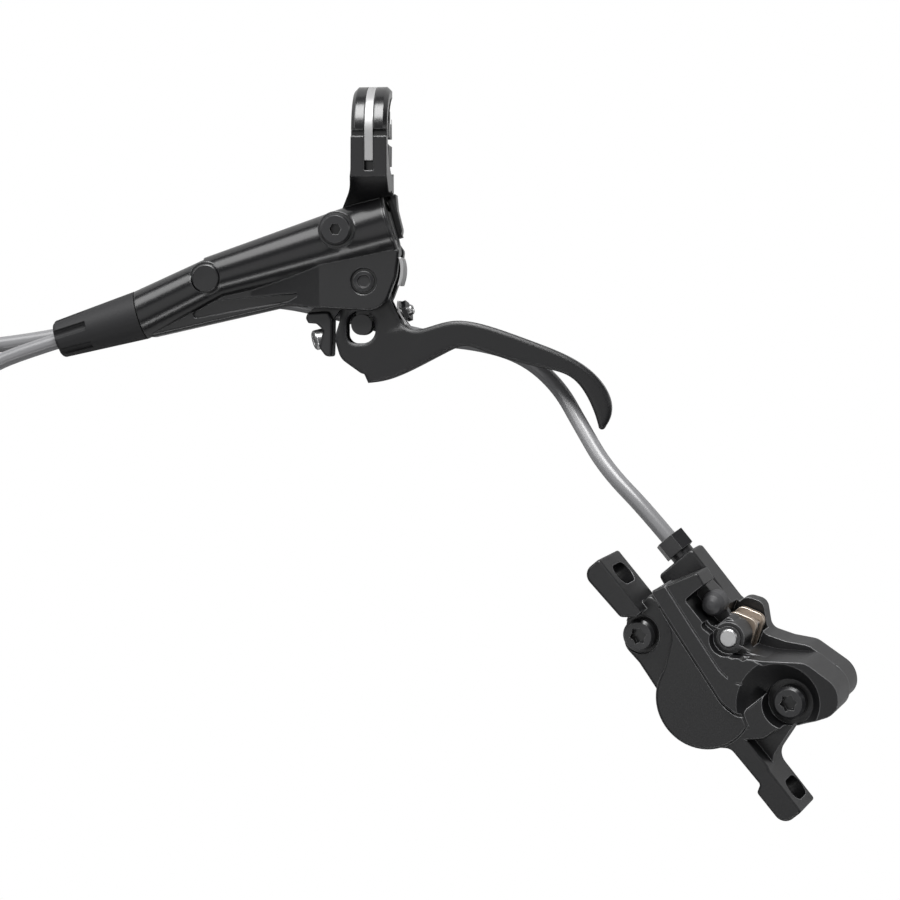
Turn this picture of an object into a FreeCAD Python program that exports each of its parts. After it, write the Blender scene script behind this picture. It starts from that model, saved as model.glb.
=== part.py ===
import FreeCAD, Part
import Sketcher
import math
import os

# Hydraulic disc brake: lever unit, one metre of hose and a post mount caliper.
# Everything is in millimetres, +Z up, and the origin is the centre of the handlebar clamp,
# with +X along the handlebar. The three groups lie on a table as the hose lets them.

os.makedirs("parts", exist_ok=True)
doc = FreeCAD.newDocument("hydraulic_disc_brake")
sheet = doc.addObject("Spreadsheet::Sheet", "dims")
V3 = FreeCAD.Vector
UP = V3(0, 0, 1)


# Sizes: each one is a number that also remembers its cell in the sheet
class Size:
    def __init__(self, value, text):
        self.value = float(value)
        self.text = text

    def _pair(self, other):
        if isinstance(other, Size):
            return other
        return Size(other, repr(float(other)))

    def __add__(self, other):
        other = self._pair(other)
        return Size(self.value + other.value, f"({self.text} + {other.text})")

    def __radd__(self, other):
        return self._pair(other) + self

    def __sub__(self, other):
        other = self._pair(other)
        return Size(self.value - other.value, f"({self.text} - {other.text})")

    def __rsub__(self, other):
        return self._pair(other) - self

    def __mul__(self, other):
        other = self._pair(other)
        return Size(self.value * other.value, f"({self.text} * {other.text})")

    __rmul__ = __mul__

    def __truediv__(self, other):
        other = self._pair(other)
        return Size(self.value / other.value, f"({self.text} / {other.text})")

    def __neg__(self):
        return Size(-self.value, f"(0 - {self.text})")

    def __float__(self):
        return self.value


row = 0


def size(name, value):
    global row
    row += 1
    sheet.set(f"A{row}", name)
    sheet.set(f"B{row}", str(value))
    sheet.setAlias(f"B{row}", name)
    return Size(value, f"dims.{name}")


def num(value):
    return float(value)


def wanted(value):
    return value if isinstance(value, Size) else Size(value, repr(float(value)))


# Handlebar clamp
bar_diameter = size("bar_diameter", 22.2)
clamp_clearance = size("clamp_clearance", 0.05)
clamp_wall = size("clamp_wall", 3.1)
clamp_width = size("clamp_width", 10.2)
clamp_split = size("clamp_split", 2.2)
clamp_lug_depth = size("clamp_lug_depth", 8.6)
clamp_lug_length = size("clamp_lug_length", 7.0)
clamp_lug_width = size("clamp_lug_width", 7.2)
clamp_lug_shift = size("clamp_lug_shift", -1.0)
strap_width = size("strap_width", 2.3)
strap_thickness = size("strap_thickness", 0.8)
clamp_bolt_radius = size("clamp_bolt_radius", 2.5)

# Lever body: a tapered barrel on a flange with two pivot lugs
barrel_radius = size("barrel_radius", 9.4)
barrel_front_radius = size("barrel_front_radius", 6.4)
barrel_length = size("barrel_length", 54.0)
barrel_height = size("barrel_height", 2.0)
barrel_turn = size("barrel_turn", 16.0)
collar_radius = size("collar_radius", 7.1)
lug_half_depth = size("lug_half_depth", 8.0)
lug_slot_half = size("lug_slot_half", 4.5)
bore_radius = size("bore_radius", 4.2)
piston_clearance = size("piston_clearance", 0.04)
reservoir_radius = size("reservoir_radius", 1.9)
bleed_radius = size("bleed_radius", 4.3)
bleed_boss_radius = size("bleed_boss_radius", 5.2)
plug_radius = size("plug_radius", 4.2)
pivot_radius = size("pivot_radius", 2.5)
pivot_clearance = size("pivot_clearance", 0.05)
pivot_recess_radius = size("pivot_recess_radius", 3.8)

# Blade and link
blade_half_depth = size("blade_half_depth", 5.3)
cheek_inner = size("cheek_inner", 2.3)
cheek_outer = size("cheek_outer", 4.2)
link_half = size("link_half", 1.9)
window_half = size("window_half", 4.2)
stud_radius = size("stud_radius", 3.0)
reach_screw_radius = size("reach_screw_radius", 2.9)

# Caliper
caliper_radius = size("caliper_radius", 13.6)
caliper_half_depth = size("caliper_half_depth", 19.0)
caliper_piston_radius = size("caliper_piston_radius", 11.0)
slot_half = size("slot_half", 2.1)
rotor_reach = size("rotor_reach", 75.0)
rotor_clear_radius = size("rotor_clear_radius", 81.2)
pad_turn = size("pad_turn", 29.4)
rotor_gap_half = size("rotor_gap_half", 1.2)
lining_thickness = size("lining_thickness", 2.0)
pad_plate_thickness = size("pad_plate_thickness", 1.8)
mount_spacing = size("mount_spacing", 74.2)
mount_slot_width = size("mount_slot_width", 6.4)
mount_slot_length = size("mount_slot_length", 11.5)
ear_thickness = size("ear_thickness", 6.6)
ear_bearing = size("ear_bearing", 1.6)
body_bolt_radius = size("body_bolt_radius", 2.5)
body_bolt_head = size("body_bolt_head", 4.5)
bolt_socket = size("bolt_socket", 2.5)
axle_radius = size("axle_radius", 1.6)

# Hose
hose_radius = size("hose_radius", 2.3)
hose_fit = size("hose_fit", 0.1)
coil_radius = size("coil_radius", 26.5)
coil_x = size("coil_x", -154.0)
coil_y = size("coil_y", -87.4)
floor_z = size("floor_z", -22.3)

# Where the lever unit and the caliper lie
lever_lean = size("lever_lean", 9.3)
caliper_x = size("caliper_x", 98.6)
caliper_y = size("caliper_y", -156.2)
caliper_z = size("caliper_z", 0.35)
caliper_yaw = size("caliper_yaw", -51.2)
caliper_tilt = size("caliper_tilt", 21.3)
doc.recompute()

LEVER = FreeCAD.Placement(V3(0, 0, 0), FreeCAD.Rotation(V3(1, 0, 0), num(lever_lean)))
CALIPER = FreeCAD.Placement(
    V3(num(caliper_x), num(caliper_y), num(caliper_z)),
    FreeCAD.Rotation(UP, num(caliper_yaw)).multiply(FreeCAD.Rotation(V3(1, 0, 0), num(caliper_tilt))),
)
WORLD = FreeCAD.Placement()


def spot(x, y, z=0, turn=0, frame=WORLD):
    here = FreeCAD.Placement(V3(num(x), num(y), num(z)), FreeCAD.Rotation(UP, num(turn)))
    return frame.multiply(here)


def facing(point, direction, frame=WORLD):
    here = FreeCAD.Placement(point, FreeCAD.Rotation(UP, direction))
    return frame.multiply(here)


# Barrel axis: along_barrel(s) walks from the open end towards the hose
BARREL_START = V3(4.5, -25.5, num(barrel_height))
BARREL_AXIS = V3(-math.cos(math.radians(num(barrel_turn))), -math.sin(math.radians(num(barrel_turn))), 0)
BORE_START = V3(BARREL_START.x, BARREL_START.y, 0)
PIVOT = V3(-2.4, -41.4, 0)
BLEED = V3(-9.7, -26.8, 0)
PLUG = V3(-47.9, -40.3, 0)
COLLAR = V3(-67.6, -50.6, num(barrel_height))
NUT = V3(8.6, -50.0, 0.4)
NUT_AXIS = V3(0.94, 0.30, 0.16)
bleed_seat = barrel_height + barrel_radius + 0.2
plug_seat = barrel_height + 3.4


def along_barrel(distance, lift=0.0):
    return BARREL_START + BARREL_AXIS * distance + UP * lift


def along_bore(distance):
    return BORE_START + BARREL_AXIS * distance


# Features with sketches
def plane_of(body, role):
    return [item for item in body.Origin.OriginFeatures if item.Role == role][0]


def new_body(name, placement):
    body = doc.addObject("PartDesign::Body", name)
    body.Label = name
    body.Placement = placement
    return body


def new_sketch(body, name, role):
    sketch = body.newObject("Sketcher::SketchObject", name)
    sketch.AttachmentSupport = [(plane_of(body, role), "")]
    sketch.MapMode = "FlatFace"
    return sketch


def bind(sketch, kind, geometry, place, wish):
    wish = wanted(wish)
    if place is None:
        index = sketch.addConstraint(Sketcher.Constraint(kind, geometry, wish.value))
    else:
        index = sketch.addConstraint(Sketcher.Constraint(kind, geometry, place, wish.value))
    if "dims" in wish.text:
        sketch.setExpression(f"Constraints[{index}]", wish.text)


def draw_polygon(sketch, points):
    first = len(sketch.Geometry)
    count = len(points)
    for i in range(count):
        start = points[i]
        end = points[(i + 1) % count]
        sketch.addGeometry(Part.LineSegment(V3(num(start[0]), num(start[1]), 0), V3(num(end[0]), num(end[1]), 0)))
    for i in range(count):
        sketch.addConstraint(Sketcher.Constraint("Coincident", first + i, 2, first + (i + 1) % count, 1))
    for i in range(count):
        bind(sketch, "DistanceX", first + i, 1, points[i][0])
        bind(sketch, "DistanceY", first + i, 1, points[i][1])


def draw_circle(sketch, radius, x=0, y=0):
    index = len(sketch.Geometry)
    sketch.addGeometry(Part.Circle(V3(num(x), num(y), 0), UP, num(radius)))
    bind(sketch, "DistanceX", index, 3, x)
    bind(sketch, "DistanceY", index, 3, y)
    bind(sketch, "Radius", index, None, radius)


def bind_length(feature, wish):
    wish = wanted(wish)
    feature.Length = wish.value
    if "dims" in wish.text:
        feature.setExpression("Length", wish.text)


def pad(body, sketch, length, name="Pad"):
    feature = body.newObject("PartDesign::Pad", f"{body.Name}_{name}")
    feature.Profile = sketch
    bind_length(feature, length)
    sketch.Visibility = False
    return feature


def turned(name, profile, placement):
    # A turned piece: profile points are (radius, height) and the axis is local Z
    body = new_body(name, placement)
    sketch = new_sketch(body, f"{name}_profile", "XZ_Plane")
    draw_polygon(sketch, profile)
    turn = body.newObject("PartDesign::Revolution", f"{name}_turn")
    turn.Profile = sketch
    turn.ReferenceAxis = (sketch, ["V_Axis"])
    turn.Angle = 360
    return body


def plate(name, points, thickness, placement):
    body = new_body(name, placement)
    sketch = new_sketch(body, f"{name}_outline", "XY_Plane")
    draw_polygon(sketch, points)
    pad(body, sketch, thickness)
    return body


def ring(name, outer, inner, height, placement):
    body = new_body(name, placement)
    sketch = new_sketch(body, f"{name}_outline", "XY_Plane")
    draw_circle(sketch, outer)
    draw_circle(sketch, inner)
    pad(body, sketch, height)
    return body


def pocket_polygon(body, sides, across, depth, height):
    # A socket with flat sides, sunk from the face at the given height
    sketch = new_sketch(body, f"{body.Name}_socket_outline", "XY_Plane")
    sketch.AttachmentOffset = FreeCAD.Placement(V3(0, 0, num(height)), FreeCAD.Rotation())
    radius = across / (2.0 * math.cos(math.pi / sides))
    points = []
    for i in range(sides):
        angle = 2 * math.pi * i / sides
        points.append((radius * math.cos(angle), radius * math.sin(angle)))
    draw_polygon(sketch, points)
    cut = body.newObject("PartDesign::Pocket", f"{body.Name}_socket")
    cut.Profile = sketch
    bind_length(cut, depth)
    return cut


def solid(name, shape, placement=WORLD):
    feature = doc.addObject("Part::Feature", name)
    feature.Label = name
    if shape.ShapeType == "Compound" and len(shape.Solids) == 1:
        shape = shape.Solids[0]
    feature.Shape = shape
    feature.Placement = placement
    return feature


# Shapes from outlines: each corner is (x, y, radius)
def rounded_wire(corners, z=0.0):
    count = len(corners)
    entries = []
    for i in range(count):
        x, y, radius = corners[i]
        corner = V3(num(x), num(y), z)
        before = V3(num(corners[i - 1][0]), num(corners[i - 1][1]), z) - corner
        after = V3(num(corners[(i + 1) % count][0]), num(corners[(i + 1) % count][1]), z) - corner
        opening = before.getAngle(after)
        if radius <= 0 or abs(opening - math.pi) < 1e-3:
            entries.append((corner, None, corner))
            continue
        setback = radius / math.tan(opening / 2)
        limit = 0.49 * min(before.Length, after.Length)
        if setback > limit:
            setback = limit
            radius = setback * math.tan(opening / 2)
        before.normalize()
        after.normalize()
        middle = before + after
        middle.normalize()
        centre = corner + middle * (radius / math.sin(opening / 2))
        entries.append((corner + before * setback, centre - middle * radius, corner + after * setback))
    edges = []
    for i in range(count):
        start, top, end = entries[i]
        if top is not None:
            edges.append(Part.Arc(start, top, end).toShape())
        following = entries[(i + 1) % count][0]
        if end.distanceToPoint(following) > 1e-4:
            edges.append(Part.LineSegment(end, following).toShape())
    return Part.Wire(edges)


def prism(corners, low, high):
    face = Part.Face(rounded_wire(corners, num(low)))
    return face.extrude(V3(0, 0, num(high) - num(low)))


def rod(radius, low, high, x=0.0, y=0.0):
    return Part.makeCylinder(num(radius), num(high) - num(low), V3(num(x), num(y), num(low)))


def rod_between(radius, start, end):
    return Part.makeCylinder(num(radius), (end - start).Length, start, end - start)


def cone_between(radius_start, radius_end, start, end):
    return Part.makeCone(num(radius_start), num(radius_end), (end - start).Length, start, end - start)


def eased(shape, radius, choose):
    # Rounds the chosen edges, and takes a smaller radius where the first does not fit
    for share in (1.0, 0.6, 0.3):
        edges = [edge for edge in shape.Edges if choose(edge)]
        if not edges:
            return shape
        try:
            result = shape.makeFillet(radius * share, edges)
        except Part.OCCError:
            continue
        if result.isValid() and len(result.Solids) == len(shape.Solids):
            return result
    return shape


def flat_at(height):
    def choose(edge):
        return abs(edge.BoundBox.ZMin - height) < 1e-3 and abs(edge.BoundBox.ZMax - height) < 1e-3

    return choose


# Cord routes: straight runs joined by tangent arcs
def route_wire(points):
    count = len(points)
    edges = []
    last = points[0]
    for i in range(1, count - 1):
        before = points[i - 1] - points[i]
        after = points[i + 1] - points[i]
        half_turn = (math.pi - before.getAngle(after)) / 2
        shorter = min(before.Length, after.Length)
        radius = 0.45 * shorter / math.tan(half_turn)
        setback = 0.45 * shorter
        before.normalize()
        after.normalize()
        middle = before + after
        middle.normalize()
        centre = points[i] + middle * (radius / math.cos(half_turn))
        start = points[i] + before * setback
        end = points[i] + after * setback
        edges.append(Part.LineSegment(last, start).toShape())
        edges.append(Part.Arc(start, centre - middle * radius, end).toShape())
        last = end
    edges.append(Part.LineSegment(last, points[-1]).toShape())
    return Part.Wire(edges)


def tube(points, radius):
    wire = route_wire(points)
    direction = points[1] - points[0]
    circle = Part.Wire(Part.makeCircle(num(radius), points[0], direction))
    return wire.makePipeShell([circle], True, True)


# Lever unit
bar_radius = bar_diameter / 2 + clamp_clearance
clamp_outer = bar_radius + clamp_wall
groove_outer = clamp_outer - strap_thickness
half_width = num(clamp_width) / 2
lug_low = -num(clamp_outer) - num(clamp_lug_depth) + 0.6


def clamp_taper():
    # The clamp narrows from its full width at the bar to the width of its bolt lugs
    left = num(clamp_lug_shift) - num(clamp_lug_width) / 2
    right = num(clamp_lug_shift) + num(clamp_lug_width) / 2
    neck = -num(bar_radius) - 1.0
    points = [(-half_width, 20), (half_width, 20), (half_width, -1), (right, neck), (right, -40), (left, -40),
              (left, neck), (-half_width, -1)]
    wire = Part.makePolygon([V3(x, -40, z) for x, z in points + points[:1]])
    return Part.Face(wire).extrude(V3(0, 80, 0))


def band_rough(side):
    # Half a clamp ring with its bolt lug below; side is +1 for the cap, -1 for the body half
    outer = Part.makeCylinder(num(clamp_outer), 2 * half_width, V3(-half_width, 0, 0), V3(1, 0, 0))
    lug = Part.makeBox(
        2 * half_width, num(clamp_lug_length), num(clamp_lug_depth) + 4.0,
        V3(-half_width, 0 if side > 0 else -num(clamp_lug_length), lug_low),
    )
    shape = outer.fuse(lug).common(clamp_taper())
    bore = Part.makeCylinder(num(bar_radius), 2 * half_width + 2, V3(-half_width - 1, 0, 0), V3(1, 0, 0))
    shape = shape.cut(bore)
    gap = num(clamp_split) / 2
    if side > 0:
        keep = Part.makeBox(40, 40, 60, V3(-20, gap, -30))
    else:
        keep = Part.makeBox(40, 40, 60, V3(-20, -40 - gap, -30))
    return shape.common(keep)


def make_clamp_band():
    shape = band_rough(1)
    # Two crowned halves with a groove for the strap between them
    groove = Part.makeCylinder(num(clamp_outer) + 2, num(strap_width) + 0.3,
                               V3(-num(strap_width) / 2 - 0.15, 0, 0), V3(1, 0, 0))
    floor = Part.makeCylinder(num(groove_outer), 30, V3(-15, 0, 0), V3(1, 0, 0))
    cut = groove.cut(floor)
    keep = Part.makeBox(20, 40, 60, V3(-10, 0, lug_low + num(clamp_lug_depth) + 0.4))
    shape = shape.cut(cut.common(keep))
    for side in (-1, 1):
        x = side * half_width
        corner = Part.makeCone(num(clamp_outer) + 0.9, num(clamp_outer) - 1.1, 2.0,
                               V3(x - side * 2.0, 0, 0), V3(side, 0, 0))
        limit = Part.makeCylinder(num(clamp_outer) + 6, 2.0, V3(x - side * 2.0, 0, 0), V3(side, 0, 0))
        upper = Part.makeBox(30, 40, 60, V3(-15, 0, lug_low + num(clamp_lug_depth) + 0.4))
        shape = shape.cut(limit.cut(corner).common(upper))
    bolt_z = lug_low + 3.6
    hole = Part.makeCylinder(num(clamp_bolt_radius) + 0.2, 20, V3(num(clamp_lug_shift), -1, bolt_z), V3(0, 1, 0))
    seat = Part.makeCylinder(5.0, 10, V3(num(clamp_lug_shift), num(clamp_lug_length) - 1.6, bolt_z), V3(0, 1, 0))
    return solid("clamp_band", shape.cut(hole).cut(seat), LEVER)


def make_strap():
    # A bright strip over the cap whose end bends down into a pocket of the arm
    outer = Part.makeCylinder(num(clamp_outer), num(strap_width), V3(-num(strap_width) / 2, 0, 0), V3(1, 0, 0))
    inner = Part.makeCylinder(num(groove_outer), num(strap_width) + 2, V3(-num(strap_width) / 2 - 1, 0, 0), V3(1, 0, 0))
    arc = outer.cut(inner)
    keep = Part.makeBox(20, 40, 40, V3(-10, 0, -num(clamp_outer) + 5.0))
    arc = arc.common(keep)
    tail = Part.makeBox(num(strap_width), 7.6, num(strap_thickness),
                        V3(-num(strap_width) / 2, -7.6, num(groove_outer)))
    hook = Part.makeBox(num(strap_width), num(strap_thickness), 2.6,
                        V3(-num(strap_width) / 2, -7.6, num(groove_outer) - 2.0))
    return solid("clamp_strap", arc.fuse([tail, hook]).removeSplitter(), LEVER)


def lever_outline():
    return [
        (-65.4, -57.3, 1.2), (-24.8, -48.3, 8), (-15.5, -48.9, 6), (-1.5, -49.7, 4), (5.0, -47.0, 4),
        (6.8, -39.5, 4), (7.4, -33.0, 2), (4.0, -28.0, 0), (-40.0, -40.0, 0), (-66.4, -49.0, 1.0),
    ]


def arm_outline():
    return [
        (-half_width, -0.8, 0.3), (-half_width - 0.1, -10.5, 14), (-5.9, -15.4, 9), (-9.2, -21.0, 6),
        (-12.5, -28.0, 0), (0.0, -32.0, 0), (7.2, -31.0, 2), (8.0, -26.6, 3), (6.6, -21.0, 3),
        (6.2, -16.4, 0.4), (half_width, -16.2, 0.4), (half_width, -0.8, 0.3),
    ]


def slope_cut(start, direction, points):
    # A wide block whose section, drawn as distance along the direction and height, trims a slanted face
    along = V3(direction.x, direction.y, 0)
    along.normalize()
    across = V3(-along.y, along.x, 0)
    corners = [start + along * s + UP * z - across * 50 for s, z in points]
    return Part.Face(Part.makePolygon(corners + corners[:1])).extrude(across * 100)


def on_slope(start, direction, low, high, length):
    # Picks the edges that lie in the slanted face from height low to height high
    along = V3(direction.x, direction.y, 0)
    along.normalize()

    def picks(edge):
        for vertex in edge.Vertexes:
            distance = (vertex.Point - start).dot(along)
            if abs(vertex.Point.z - low - (high - low) * distance / length) > 0.01:
                return False
        return True
    return picks


def make_lever_body():
    end = along_barrel(num(barrel_length))
    taper = cone_between(barrel_radius, barrel_front_radius, along_barrel(0), end)
    shape = taper
    # Neck and collar that swing slightly towards the hose
    neck_a = Part.Wire(Part.makeCircle(num(barrel_front_radius), along_barrel(num(barrel_length) - 3), BARREL_AXIS))
    neck_b = Part.Wire(Part.makeCircle(num(collar_radius), COLLAR, BARREL_AXIS))
    shape = shape.fuse(Part.makeLoft([neck_a, neck_b], True))
    # Flange: the rib under the barrel, and the two pivot lugs
    rib = prism(lever_outline(), -3.6, 4.6)
    rib = eased(rib, 1.2, lambda edge: flat_at(4.6)(edge) or flat_at(-3.6)(edge))
    shape = shape.fuse(rib)
    lugs = prism(
        [(-37.0, -42.0, 2), (-37.0, -46.0, 1), (-16.0, -48.9, 3), (3.2, -50.1, 6.5), (7.0, -40.0, 5),
         (7.9, -32.5, 1.5), (4.0, -27.0, 0), (-14.0, -31.0, 0)],
        -num(lug_half_depth), lug_half_depth,
    )
    fade_start = V3(-15.0, 0, 0)
    fade = V3(-1, 0, 0)
    depth = num(lug_half_depth)
    lugs = lugs.cut(slope_cut(fade_start, fade, [(0, depth), (24, 4.0), (24, 20), (0, 20)]))
    lugs = lugs.cut(slope_cut(fade_start, fade, [(0, -depth), (24, -3.4), (24, -20), (0, -20)]))
    lugs = eased(lugs, 0.8, flat_at(depth))
    shape = shape.fuse(lugs)
    # Arm to the clamp: level with the clamp at its top, then sloped down to the barrel
    arm = prism(arm_outline(), -4.0, num(clamp_outer))
    slope_start = V3(0, -12.0, 0)
    arm = arm.cut(slope_cut(slope_start, V3(0, -1, 0), [(0, num(clamp_outer)), (9, 3.0), (30, 3.0), (30, 30), (0, 30)]))
    arm = eased(arm, 0.7, lambda edge: flat_at(num(clamp_outer))(edge)
                or on_slope(slope_start, V3(0, -1, 0), num(clamp_outer), 3.0, 9)(edge))
    shape = shape.fuse(arm)
    shape = shape.fuse(band_rough(-1))
    # Tongue that closes the split of the clamp on the side of the strap
    tongue = Part.makeCylinder(num(clamp_outer) - 1.3, 2 * half_width, V3(-half_width, 0, 0), V3(1, 0, 0))
    tongue = tongue.common(Part.makeBox(40, num(clamp_split) + 0.9, 20, V3(-20, -num(clamp_split) / 2 - 1, 6.0)))
    shape = shape.fuse(tongue)
    # Room for the barrel's end cap, open above
    cap_room = rod_between(num(barrel_radius) + 0.05, along_barrel(-2.4), along_barrel(0))
    open_room = rod_between(num(barrel_radius) + 0.05, along_barrel(-10), along_barrel(0))
    shape = shape.cut(cap_room).cut(open_room.common(Part.makeBox(60, 60, 20, V3(-20, -50, 1.0))))
    # Boss for the bleed screw and pad for the port plug
    shape = shape.fuse(rod(bleed_boss_radius, 2, bleed_seat, BLEED.x, BLEED.y))
    shape = shape.fuse(rod(plug_radius + 0.7, 2, num(plug_seat) + 2.2, PLUG.x, PLUG.y))
    # Master cylinder bore, link slot and lug slot
    shape = shape.cut(rod_between(bore_radius, along_bore(8.0), along_bore(44.0)))
    shape = shape.cut(rod_between(1.0, along_bore(44.0), along_bore(60.0)))
    shape = shape.cut(rod_between(num(bore_radius) + 0.45, along_bore(4.0), along_bore(16.75)))
    shape = shape.cut(rod_between(reservoir_radius, along_barrel(4.0, 4.6), along_barrel(24.0, 4.6)))
    slot = prism(
        [(-20.0, -36.5, 0), (-20.0, -60.0, 0), (14.0, -60.0, 0), (14.0, -34.5, 0), (7.0, -31.5, 0),
         (-4.0, -33.5, 0)],
        -num(lug_slot_half), lug_slot_half,
    )
    shape = shape.cut(slot)
    link_way = prism([(-12.5, -25.0, 0), (-12.5, -42.0, 0), (4.6, -42.0, 0), (4.6, -22.6, 0)],
                     -num(link_half) - 0.5, num(link_half) + 0.5)
    shape = shape.cut(link_way)
    shape = shape.cut(rod(pivot_radius, -20, 20, PIVOT.x, PIVOT.y))
    shape = shape.cut(rod(pivot_recess_radius, num(lug_half_depth) - 1.6, 20, PIVOT.x, PIVOT.y))
    shape = shape.cut(rod(3.4, -20, -num(lug_half_depth) + 1.0, PIVOT.x, PIVOT.y))
    # Scoop between the barrel and the lower flange
    scoop = prism([(-57.0, -52.6, 1), (-24.0, -46.9, 3), (-20.0, -44.5, 3), (-46.0, -46.6, 3)], 3.2, 9)
    shape = shape.cut(scoop)
    # Seats for the cap, the plug, the bleed screw, the strap, the clamp bolt and the hose
    shape = shape.cut(rod_between(num(barrel_radius) - 1.6, along_barrel(-1), along_barrel(2.3)))
    shape = shape.cut(rod(bleed_radius - 0.9, num(bleed_seat) - 2.2, 20, BLEED.x, BLEED.y))
    shape = shape.cut(rod(1.7, 5.0, 12, BLEED.x, BLEED.y))
    shape = shape.cut(rod(plug_radius, plug_seat, 20, PLUG.x, PLUG.y))
    shape = shape.cut(Part.makeBox(num(strap_width) + 0.3, 3.8, 10.0,
                                   V3(-num(strap_width) / 2 - 0.15, -10.4, num(groove_outer) - 2.4)))
    shape = shape.cut(rod(bleed_boss_radius + 0.2, bleed_seat, 30, BLEED.x, BLEED.y))
    trough = Part.makeBox(num(strap_width) + 0.3, 14.2, 20.0,
                          V3(-num(strap_width) / 2 - 0.15, -7.4, num(groove_outer)))
    shape = shape.cut(trough)
    bolt_z = lug_low + 3.6
    shape = shape.cut(Part.makeCylinder(num(clamp_bolt_radius), 20, V3(num(clamp_lug_shift), -19, bolt_z), V3(0, 1, 0)))
    shape = shape.cut(rod_between(3.0, COLLAR - BARREL_AXIS * 14.0, COLLAR + BARREL_AXIS * 2))
    bar_way = Part.makeCylinder(num(bar_radius), 80, V3(-40, 0, 0), V3(1, 0, 0))
    return solid("lever_body", shape.cut(bar_way).removeSplitter(), LEVER)


make_lever_body()
make_clamp_band()
make_strap()

# Fasteners and caps on the lever body
bolt_z = lug_low + 3.6
clamp_bolt = turned(
    "clamp_bolt",
    [(0, -15.0), (clamp_bolt_radius - 0.05, -15.0), (clamp_bolt_radius - 0.05, 0), (3.5, 0), (3.5, 3.6),
     (3.1, 4.2), (0, 4.2)],
    facing(V3(num(clamp_lug_shift), num(clamp_lug_length) - 1.6, bolt_z), V3(0, 1, 0), LEVER),
)
pocket_polygon(clamp_bolt, 6, Size(4.0, "4.0"), 2.4, 4.2)

bleed_screw = turned(
    "bleed_screw",
    [(0, -2.7), (1.6, -2.7), (1.6, -2.0), (bleed_radius - 1.0, -2.0), (bleed_radius - 1.0, 0.5), (bleed_radius, 0.5),
     (bleed_radius, 1.5), (bleed_radius - 0.5, 2.0), (0, 2.0)],
    spot(BLEED.x, BLEED.y, bleed_seat, 0, LEVER),
)
pocket_polygon(bleed_screw, 6, Size(2.9, "2.9"), 2.2, 2.0)
ring("bleed_seal", bleed_radius + 0.3, bleed_radius - 0.95, 0.5, spot(BLEED.x, BLEED.y, bleed_seat, 0, LEVER))

turned(
    "port_plug",
    [(0, 0), (plug_radius - 0.02, 0), (plug_radius - 0.02, 2.6), (plug_radius - 0.5, 3.0), (0, 3.2)],
    spot(PLUG.x, PLUG.y, plug_seat, 0, LEVER),
)
turned(
    "barrel_cap",
    [(0, -2.2), (barrel_radius - 1.65, -2.2), (barrel_radius - 1.65, 0.02), (barrel_radius - 0.1, 0.02),
     (barrel_radius - 0.1, 0.5), (barrel_radius - 0.6, 0.9), (barrel_radius - 2.2, 0.9), (barrel_radius - 2.6, 0.5),
     (0, 0.5)],
    facing(along_barrel(0), BARREL_AXIS * -1, LEVER),
)
turned(
    "reservoir_bladder",
    [(0, 0.5), (reservoir_radius - 0.1, 0.5), (reservoir_radius - 0.1, 17.0), (reservoir_radius - 0.7, 18.0), (0, 18.0)],
    facing(along_barrel(5.0, 4.6), BARREL_AXIS, LEVER),
)

# Pivot pin with its head and clip
turned(
    "pivot_pin",
    [(0, -1.0 - lug_half_depth), (pivot_radius - pivot_clearance, -1.0 - lug_half_depth),
     (pivot_radius - pivot_clearance, lug_half_depth - 1.6), (pivot_recess_radius - 0.9, lug_half_depth - 1.6),
     (pivot_recess_radius - 0.9, lug_half_depth - 0.4), (1.9, lug_half_depth - 0.2),
     (1.6, lug_half_depth - 0.9), (0, lug_half_depth - 0.9)],
    spot(PIVOT.x, PIVOT.y, 0, 0, LEVER),
)
ring("pivot_clip", 3.2, pivot_radius - 0.02, 0.7, spot(PIVOT.x, PIVOT.y, -num(lug_half_depth) + 0.25, 0, LEVER))


# Blade: a fork at the pivot that runs out into the finger part
def spline_edge(points):
    curve = Part.BSplineCurve()
    curve.interpolate([V3(x, y, 0) for x, y in points])
    return curve.toShape()


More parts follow.
